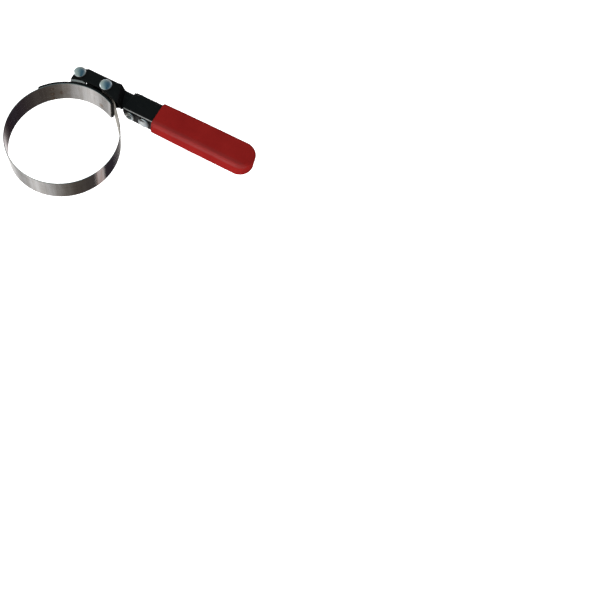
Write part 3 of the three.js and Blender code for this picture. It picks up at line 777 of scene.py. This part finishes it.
def lever_wear(u, v):
    if u > 31.0:
        return 0.0
    B = lw(u) - LR
    bend = math.exp(-((abs(v) - B - LL / 2) / 0.75) ** 2)
    jog = 0.0
    if abs(v) > B:
        jog = 0.10 * math.exp(-((u - (JA - 0.4)) / 0.55) ** 2)
    return max(0.22 * bend, jog)


plate("lever_channel_sheet", fillet(out, 0.5), lever_holes, lever_map, 1.6, e=0.32, step=0.62, grid=lg,
      mat=BLACK, slot="black_steel", replaces=("lever_channel",), body="lever", wear_and_highlight=lever_wear)


# ------------------------------------------------------------------ handle channel
HM, HR, HT = 56.5, 1.7, 1.6
HW = 9.4
HB2 = HW - HR
HL = HR * math.pi / 2
ZT = 6.35 - HT / 2


def handle_map(u, v):
    a, sg = abs(v), (1 if v >= 0 else -1)
    if a <= HB2:
        n, z = a, ZT
    elif a <= HB2 + HL:
        th = (a - HB2) / HR
        n, z = HB2 + HR * math.sin(th), ZT - HR + HR * math.cos(th)
    else:
        n, z = HW, ZT - HR - (a - HB2 - HL)
    return (u, HM + sg * n, z)


def hv(z):
    return HB2 + HL + (ZT - HR - z)


ear = [(36.4 + 6.35 * math.cos(math.radians(a)), hv(6.35 * math.sin(math.radians(a)))) for a in range(268, 184, -9)]
far_side = [(133.2, hv(-6.35), 0)] + [(x, v, 0) for x, v in ear] + [(30.0, hv(0.2), 0), (29.5, hv(2.0), 0), (29.4, hv(3.3), 0.5),
            (31.9, hv(3.7), 0.6), (32.2, HB2 + HL * 0.6, 0.5), (31.5, HB2 + 0.5, 0.6), (30.8, 7.0, 0), (30.3, 3.6, 0), (30.05, 0.0, 0)]
near_side = [(29.75, -4.0, 0), (29.5, -HB2, 0), (29.4, -hv(3.4), 0), (29.5, -hv(2.0), 0), (30.0, -hv(0.2), 0)] + \
    [(x, -v, 0) for x, v in reversed(ear)] + [(133.2, -hv(-6.35), 0)]
endcap = [(133.2, -(HB2 + HL + 0.4), 0.3)] + [(133.2 + 9.9 * math.cos(math.radians(a)), 7.6 * math.sin(math.radians(a)), 0) for a in range(-84, 85, 12)] + [(133.2, HB2 + HL + 0.4, 0.3)]
out = far_side + near_side + endcap
hg = []
for u in list(np.arange(30.4, 60, 1.2)) + list(np.arange(62, 134, 6.0)):
    for v in (0, 2.4, 4.8, 6.8, 7.7, 8.05, 8.4, 8.75, 9.1, 9.45, 9.8, 10.15, 10.5, 11.3, 12.7, 14.2, 15.8, 17.4, 19.0):
        hg.append((u, v))
        if v:
            hg.append((u, -v))
holes = [circle(36.4, hv(0), 2.95), circle(36.4, -hv(0), 2.95), circle(50, hv(0), 2.95), circle(50, -hv(0), 2.95)]
plate("handle_channel_sheet", fillet(out, 0.4), holes, handle_map, 1.6, e=0.32, step=0.7, grid=hg,
      mat=BLACK, slot="black_steel", replaces=("handle_channel",), body="handle",
      # lines on both web-flange bends: partly worn paint, partly a painted highlight line
      wear_and_highlight=lambda u, v: 1.05 * math.exp(-((v + HB2 + HL * 0.45) / 0.36) ** 2) + 0.98 * math.exp(-((v - HB2 + 0.25) / 0.34) ** 2))


# ------------------------------------------------------------------ rivets, washers, sleeves
Z_HEAD = 13.9
Z_W0, Z_TAIL = -13.9, -15.0


def dome(shank):
    p = [(0, -16.25), (3.1, -16.25, 0.5), (4.35, -15.95, 0.4), (4.5, -15.1, 0.1), (shank + 0.02, Z_TAIL, 0.05), (shank, Z_HEAD, 0.05), (5.3, Z_HEAD, 0.06), (5.4, Z_HEAD + 0.35, 0.2)]
    for i in range(1, 12):
        a = math.radians(90 * i / 12)
        p.append((5.4 * math.cos(a) ** 0.92, Z_HEAD + 0.45 + 1.5 * math.sin(a) ** 0.95, 0.3))
    p.append((0, Z_HEAD + 1.95))
    return soft_profile(p, 0.1, 2)


lathe("pivot_rivet_turned", dome(2.9), (*P1, 0), (0, 0, 1), ZINC, slot="zinc", replaces=("pivot_rivet",), body="loop_root")
lathe("band_rivet_turned", dome(2.2), (*P2, 0), (0, 0, 1), ZINC, slot="zinc", replaces=("band_rivet",), body="lever")
lathe("pivot_washer_ring", ring_profile(3.1, 5.2, -14.7, -13.9), (*P1, 0), (0, 0, 1), ZINC, slot="zinc", replaces=("pivot_washer",), body="loop_root")
lathe("band_rivet_washer_ring", ring_profile(2.4, 5.2, -14.7, -13.9), (*P2, 0), (0, 0, 1), ZINC, slot="zinc", replaces=("band_rivet_washer",), body="lever")
lathe("pivot_sleeve_tube", ring_profile(3.15, 4.2, -9.5, 9.5, 0.2), (*P1, 0), (0, 0, 1), ZINC, slot="zinc", replaces=("pivot_sleeve",), body="loop_root")
lathe("band_rivet_roller_tube", ring_profile(2.35, 2.9, -11.7, 11.7, 0.12), (*P2, 0), (0, 0, 1), ZINC, slot="zinc", replaces=("band_rivet_roller",), body="lever")

# swivel rivet: tubular tail rolled over on the near ear, low dome on the far ear
a, b, s_ = 46.0, 67.0, 2.7
p = [(0, a + 3.4), (1.0, a + 3.2, 0.3), (1.5, a + 2.5, 0.3), (1.62, a - 0.2, 0.8), (1.9, a - 0.95, 0.5), (2.7, a - 1.4, 0.5), (3.7, a - 1.3, 0.5), (4.5, a - 0.85, 0.4), (4.82, a - 0.3, 0.25), (4.6, a, 0.1),
     (s_ + 0.02, a, 0.05), (s_, b, 0.05), (3.95, b, 0.06), (4.0, b + 0.3, 0.15), (3.2, b + 0.66, 0.3), (1.7, b + 0.82, 0.4), (0, b + 0.85)]
lathe("swivel_rivet_turned", soft_profile(p, 0.3, 5), (36.4, 0, 0), (0, 1, 0), ZINC, slot="zinc", replaces=("swivel_rivet",), body="handle", sharp=50)
p = [(0, a - 1.9), (2.0, a - 1.78, 0.8), (3.6, a - 1.5, 0.8), (4.8, a - 0.98, 0.6), (5.35, a - 0.4, 0.25), (5.3, a, 0.06), (s_ + 0.02, a, 0.05), (s_, b, 0.05), (3.85, b, 0.06), (3.9, b + 0.3, 0.15), (3.1, b + 0.66, 0.3), (1.7, b + 0.82, 0.4), (0, b + 0.85)]
lathe("tie_rivet_turned", soft_profile(p, 0.3, 5), (50.0, 0, 0), (0, 1, 0), ZINC, slot="zinc", replaces=("tie_rivet",), body="handle", sharp=50)
lathe("swivel_flat_washer_ring", ring_profile(2.95, 4.4, 48.2, 49.0, 0.1), (36.4, 0, 0), (0, 1, 0), ZINC, slot="zinc", replaces=("swivel_flat_washer",), body="handle")
lathe("swivel_spacer_tube", ring_profile(2.95, 4.0, 51.0, 62.9, 0.2), (36.4, 0, 0), (0, 1, 0), ZINC, slot="zinc", replaces=("swivel_spacer",), body="handle")
lathe("tie_spacer_tube", ring_profile(2.95, 4.1, 48.2, 64.8, 0.2), (50.0, 0, 0), (0, 1, 0), ZINC, slot="zinc", replaces=("tie_spacer",), body="handle")
sw = lathe("swivel_spring_washer_bowed", ring_profile(2.95, 4.3, 49.3, 49.9, 0.08), (36.4, 0, 0), (0, 1, 0), ZINC, slot="zinc", replaces=("swivel_spring_washer",))
for v in sw.data.vertices:
    x = v.co.x * 1000 - S[0] - 36.4
    v.co.y += 0.0008 * (1 - (x / 4.3) ** 2)
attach(sw, "handle")


# ------------------------------------------------------------------ dipped grip
G0, G1 = 57.0, 145.0
GN0, GN1 = 44.5, 67.8
GM, GR = (GN0 + GN1) / 2, (GN1 - GN0) / 2
GC = G1 - GR
GB = 2.1


def grip_h(t):
    k = min(1.0, max(0.0, (t - G0) / 47.0))
    return 7.5 + 0.8 * k * (2 - k)


def build_grip():
    """outer skin: insets of the plan outline carried round a quarter section, then a crowned top; the
    mouth is turned in with a small lip and the cavity follows the channel"""
    outline = []
    side = list(np.arange(G0 + 1.2, GC, 1.3)) + [GC]
    for t_ in side:
        outline.append((t_, GM - GR, 0.0, 1.0, GB))
    for i in range(1, 40):
        q = math.radians(-90 + 180 * i / 40)
        outline.append((GC + GR * math.cos(q), GM + GR * math.sin(q), -math.cos(q), -math.sin(q), GB))
    for t_ in reversed(side):
        outline.append((t_, GM + GR, 0.0, -1.0, GB))
    N = len(outline)
    verts, faces = [], []
    K = 9

    def wob(t_, n_, z_):
        q = Vector((t_ * 0.045, n_ * 0.09, z_ * 0.09))
        return 0.10 * noise.noise(q * 1.9 + Vector((3.1, 0.4, 1.7)))

    rings = []
    # from the bottom centre to the top centre: bottom insets, bottom fillet, wall, top fillet, top insets
    spec = []
    insets = [GR - 0.9, 8.6, 6.6, 4.8, 3.2]
    for s_ in insets:
        spec.append((s_, -1, None))
    for k in range(K, -1, -1):
        spec.append((None, -1, k))
    spec.append((0, 0, -0.45))
    spec.append((0, 0, 0.0))
    spec.append((0, 0, 0.45))
    for k in range(0, K + 1):
        spec.append((None, 1, k))
    for s_ in reversed(insets):
        spec.append((s_, 1, None))
    for ins, sg, k in spec:
        row = []
        for t_, n_, ix, iy, b in outline:
            H = grip_h(t_)
            if ins is None:
                a_ = math.pi / 2 * k / K
                d, z = b * (1 - math.cos(a_)), sg * (H - b + b * math.sin(a_))
            elif sg == 0:
                d, z = 0.0, k * (H - b)
            else:
                d = ins
                z = sg * (H + 0.16 * smooth((ins - b) / 6.0))
            # past the end's centre the insets shrink toward it; along the sides they meet the mid line
            d = min(d, GR - 0.02)
            tt, nn = t_ + ix * d, n_ + iy * d
            c = wob(tt, nn, z)
            out_dir = Vector((-ix, -iy, 0)) if sg == 0 else Vector((-ix * math.cos(math.pi / 2 * (k or K) / K), -iy * math.cos(math.pi / 2 * (k or K) / K), sg))
            if ins is not None and sg != 0:
                out_dir = Vector((0, 0, sg))
            out_dir.normalize()
            fade = smooth((t_ - G0) / 10.0)
            verts.append([tt + out_dir.x * c * fade, nn + out_dir.y * c * fade, z + out_dir.z * c * fade])
            row.append(len(verts) - 1)
        rings.append(row)
    for r0, r1 in zip(rings, rings[1:]):
        for i in range(N - 1):
            faces.append((r0[i], r0[i + 1], r1[i + 1], r1[i]))
    # the innermost insets are bridged across the mid line
    for row, up in ((rings[0], False), (rings[-1], True)):
        i, j = 0, N - 1
        while j - i > 2:
            f = (row[i], row[i + 1], row[j - 1], row[j])
            faces.append(f if up else f[::-1])
            i += 1
            j -= 1
        if j - i == 2:
            f = (row[i], row[i + 1], row[j])
            faces.append(f if up else f[::-1])
    # mouth: boundary of the skin at t = G0 + 1.2, in order round the section
    left = [r[0] for r in rings]                  # low n side, bottom to top
    right = [r[-1] for r in rings]                # high n side, bottom to top
    loop = left + right[::-1]                     # goes up the low side, over the top, down the high side
    M = len(loop)

    def section(fr):                              # cavity wall nearest to each loop point
        res = []
        c0n, c1n, zz, r = 46.0, 67.0, 6.65, 2.6
        for idx in loop:
            x, y, z = verts[idx]
            yy = min(c1n, max(c0n, y))
            z2 = min(zz, max(-zz, z))
            # push to the rounded rectangle's border
            dy_, dz_ = y - GM, z
            hw, hh = (c1n - c0n) / 2, zz
            k_ = max(abs(dy_) / hw, abs(dz_) / hh, 1e-6)
            py, pz = dy_ / k_, dz_ / k_
            cy, cz = hw - r, hh - r
            if abs(py) > cy and abs(pz) > cz:
                vy, vz = abs(py) - cy, abs(pz) - cz
                L_ = math.hypot(vy, vz)
                py = math.copysign(cy + vy * r / L_, py)
                pz = math.copysign(cz + vz * r / L_, pz)
            res.append((GM + py, pz))
        return res

    cav = section(0)
    prev = loop
    ph = [(verts[i][0], verts[i][1], verts[i][2]) for i in loop]
    steps = [(0.22, 0.62), (0.42, 0.92), (0.6, 1.12), (0.8, 1.2), (1.0, 1.0)]
    # lip: rolls inward toward the cavity with a rounded edge
    lip = []
    for kk, (f_, fwd) in enumerate([(0.10, 0.55), (0.30, 0.95), (0.55, 1.14), (0.80, 1.05), (1.0, 0.70)]):
        row = []
        for i in range(M):
            x, y, z = ph[i]
            cy, cz = cav[i]
            wav = 0.18 * math.sin(y * 0.45 + 0.6) + 0.10 * math.sin(y * 1.1 + z * 0.5)
            verts.append([G0 + 1.2 - fwd + 0.25 * wav * 0, y + (cy - y) * f_, z + (cz - z) * f_])
            row.append(len(verts) - 1)
        lip.append(row)
    for row in lip:
        for i in range(M):
            j = (i + 1) % M
            faces.append((prev[j], prev[i], row[i], row[j]))
        prev = row
    for tt in (G0 + 6, G0 + 30, 133.2):
        row = []
        for i in range(M):
            cy, cz = cav[i]
            verts.append([tt, cy, cz])
            row.append(len(verts) - 1)
        for i in range(M):
            j = (i + 1) % M
            faces.append((prev[j], prev[i], row[i], row[j]))
        prev = row
    # rounded blind end of the cavity
    for q in range(1, 7):
        a_ = math.radians(90 * q / 7)
        row = []
        for i in range(M):
            cy, cz = cav[i]
            verts.append([133.2 + 10.4 * math.sin(a_), GM + (cy - GM) * math.cos(a_), cz])
            row.append(len(verts) - 1)
        for i in range(M):
            j = (i + 1) % M
            faces.append((prev[j], prev[i], row[i], row[j]))
        prev = row
    verts.append([143.65, GM, 0.0])
    c_ = len(verts) - 1
    for i in range(M):
        j = (i + 1) % M
        faces.append((prev[j], prev[i], c_))
    # drip nub left at the tip by the dipping
    for v in verts:
        d = math.hypot(v[1] - (GM - 3.2), v[2] + 1.0)
        if v[0] > G1 - 4 and d < 3.0:
            v[0] = min(v[0] + 0.35 * math.exp(-(d / 1.1) ** 2), G1 + 0.0)
    return [P(*v) for v in verts], faces


gv, gf = build_grip()
make("vinyl_grip_dipped", gv, gf, VINYL, attrs={"polish": [smooth((v[2] * 1000 - 16.25 - 4.6) / 2.0) * smooth((48.6 - (v[1] * 1000 + 10.265)) / 1.6) for v in gv]}, slot="vinyl", replaces=("vinyl_grip",), body="handle", sharp=60)


# ------------------------------------------------------------------ floor, light, camera
bpy.ops.mesh.primitive_plane_add(size=1)
floor = bpy.context.object
floor.name = "floor"
floor.scale = (6, 6, 1)
floor.location = (0, 0, -0.10)       # low enough for the handle to swing straight down
floor.data.materials.append(floor_material())
floor.visible_glossy = False

world = bpy.data.worlds.new("studio")
bpy.context.scene.world = world
world.use_nodes = True
nt = world.node_tree
nt.nodes.clear()
wo = nt.nodes.new("ShaderNodeOutputWorld")
bg = nt.nodes.new("ShaderNodeBackground")
nt.links.new(bg.outputs[0], wo.inputs[0])
tc = nt.nodes.new("ShaderNodeTexCoord")
sep = nt.nodes.new("ShaderNodeSeparateXYZ")
nt.links.new(tc.outputs["Generated"], sep.inputs[0])


def wmath(op, a, b=None, clamp=False):
    n = nt.nodes.new("ShaderNodeMath")
    n.operation = op
    n.use_clamp = clamp
    for i, v in enumerate((a, b)):
        if v is None:
            continue
        if isinstance(v, (int, float)):
            n.inputs[i].default_value = v
        else:
            nt.links.new(v, n.inputs[i])
    return n.outputs[0]


def wramp(src, stops):
    r = nt.nodes.new("ShaderNodeValToRGB")
    els = r.color_ramp.elements
    while len(els) < len(stops):
        els.new(0.5)
    for e_, (p_, c) in zip(els, stops):
        e_.position = p_
        e_.color = (c, c, c, 1) if isinstance(c, (int, float)) else (*c, 1)
    nt.links.new(src, r.inputs[0])
    return r.outputs[0]


ang = wmath("ARCTAN2", sep.outputs[1], sep.outputs[0])                      # -pi..pi
pos = wmath("MULTIPLY", wmath("ADD", wmath("FRACT", wmath("DIVIDE", wmath("ADD", ang, 2 * math.pi), 2 * math.pi)), 0.0), 1.0)
# surroundings below the horizon, by compass direction in turns from +X
low = wramp(pos, [(0.0, (0.055, 0.048, 0.046)), (0.067, (0.034, 0.026, 0.032)), (0.15, (0.026, 0.022, 0.030)), (0.225, (0.030, 0.024, 0.030)), (0.27, (0.20, 0.19, 0.18)),
                  (0.317, 1.05), (0.40, 1.65), (0.483, 0.85), (0.567, 0.33), (0.65, 0.86), (0.733, 0.50), (0.817, (0.185, 0.172, 0.158)), (0.90, (0.078, 0.068, 0.060)), (1.0, (0.055, 0.048, 0.046))])
# above the horizon: a soft bright wall behind and to the left, dim overhead and in front
high = wramp(pos, [(0.0, 0.06), (0.15, 0.12), (0.22, 0.75), (0.28, 0.30), (0.36, (0.28, 0.33, 0.31)), (0.46, (0.42, 0.49, 0.45)), (0.53, 2.30), (0.59, (0.46, 0.52, 0.48)), (0.69, 0.90), (0.77, 0.40), (0.86, 0.12), (1.0, 0.06)])
zen = wramp(wmath("MULTIPLY", wmath("ADD", sep.outputs[2], 1.0), 0.5), [(0.0, 0.0), (0.46, 0.0), (0.54, 1.0), (1.0, 1.0)])
up = wramp(sep.outputs[2], [(0.0, 0.0), (0.42, 0.0), (0.76, 1.0), (1.0, 1.0)])
m1 = nt.nodes.new("ShaderNodeMix"); m1.data_type = "RGBA"
nt.links.new(zen, m1.inputs[0]); nt.links.new(low, m1.inputs[6]); nt.links.new(high, m1.inputs[7])
m2 = nt.nodes.new("ShaderNodeMix"); m2.data_type = "RGBA"
# overhead: bright to the left, dim blue to the right
side = wmath("ADD", wmath("MULTIPLY", sep.outputs[0], 0.854), wmath("MULTIPLY", sep.outputs[1], 0.52))
top_c = wramp(wmath("MULTIPLY", wmath("ADD", side, 1.0), 0.5), [(0.0, (0.42, 0.48, 0.44)), (0.34, (0.40, 0.47, 0.43)), (0.455, (0.13, 0.225, 0.24)), (0.49, (0.014, 0.075, 0.12)), (0.60, (0.014, 0.065, 0.11)), (0.72, (0.14, 0.20, 0.23)), (1.0, 0.2)])
nt.links.new(up, m2.inputs[0]); nt.links.new(m1.outputs[2], m2.inputs[6]); nt.links.new(top_c, m2.inputs[7])
nt.links.new(m2.outputs[2], bg.inputs[0])
bg.inputs[1].default_value = 1.0
# matt surfaces are lit by a plain white dome
dome_bg = nt.nodes.new("ShaderNodeBackground")
dome_bg.inputs[0].default_value = (1.0, 1.0, 1.0, 1)
dome_bg.inputs[1].default_value = 0.55
path = nt.nodes.new("ShaderNodeLightPath")
mixw = nt.nodes.new("ShaderNodeMixShader")
nt.links.new(path.outputs["Is Glossy Ray"], mixw.inputs[0])
nt.links.new(dome_bg.outputs[0], mixw.inputs[1])
nt.links.new(bg.outputs[0], mixw.inputs[2])
nt.links.new(mixw.outputs[0], wo.inputs[0])


def area(name, target, alpha, el, dist, size, energy, glossy, color=(1, 1, 1)):
    L = bpy.data.lights.new(name, "AREA")
    L.shape = "DISK"
    L.size = size
    L.energy = energy
    L.color = color
    ob = bpy.data.objects.new(name, L)
    bpy.context.scene.collection.objects.link(ob)
    a_, e_ = math.radians(alpha), math.radians(el)
    d = Vector((math.cos(a_) * math.cos(e_), math.sin(a_) * math.cos(e_), math.sin(e_)))
    ob.location = Vector(target) + d * dist
    ob.rotation_euler = d.to_track_quat("Z", "Y").to_euler()
    ob.visible_glossy = glossy
    return ob


TARGET = (-0.0055, 0.0243, 0.016)
area("key", TARGET, 258, 26, 1.6, 1.4, 24, False)
area("overhead", TARGET, 150, 78, 1.6, 2.4, 8, False)

cam = bpy.data.cameras.new("camera")
co = bpy.data.objects.new("camera", cam)
bpy.context.scene.collection.objects.link(co)
az, el, ro, D = math.radians(31.309), math.radians(58.969), math.radians(-1.027), 0.5593
f = Vector((-math.sin(az) * math.cos(el), math.cos(az) * math.cos(el), -math.sin(el)))
r = f.cross(Vector((0, 0, 1))).normalized()
u = r.cross(f)
r2 = r * math.cos(ro) + u * math.sin(ro)
u2 = -r * math.sin(ro) + u * math.cos(ro)
M = Matrix((r2, u2, -f)).transposed().to_4x4()
M.translation = Vector(TARGET) - f * D
co.matrix_world = M
cam.sensor_width = 36
cam.lens = 677.4 * 36 / 590
cam.shift_x = (295 - 130) / 590
cam.shift_y = (130 - 295) / 590
cam.dof.use_dof = False
cam.clip_start = 0.01
bpy.context.scene.camera = co
bpy.context.scene.view_settings.view_transform = "Standard"
bpy.context.scene.view_settings.look = "None"
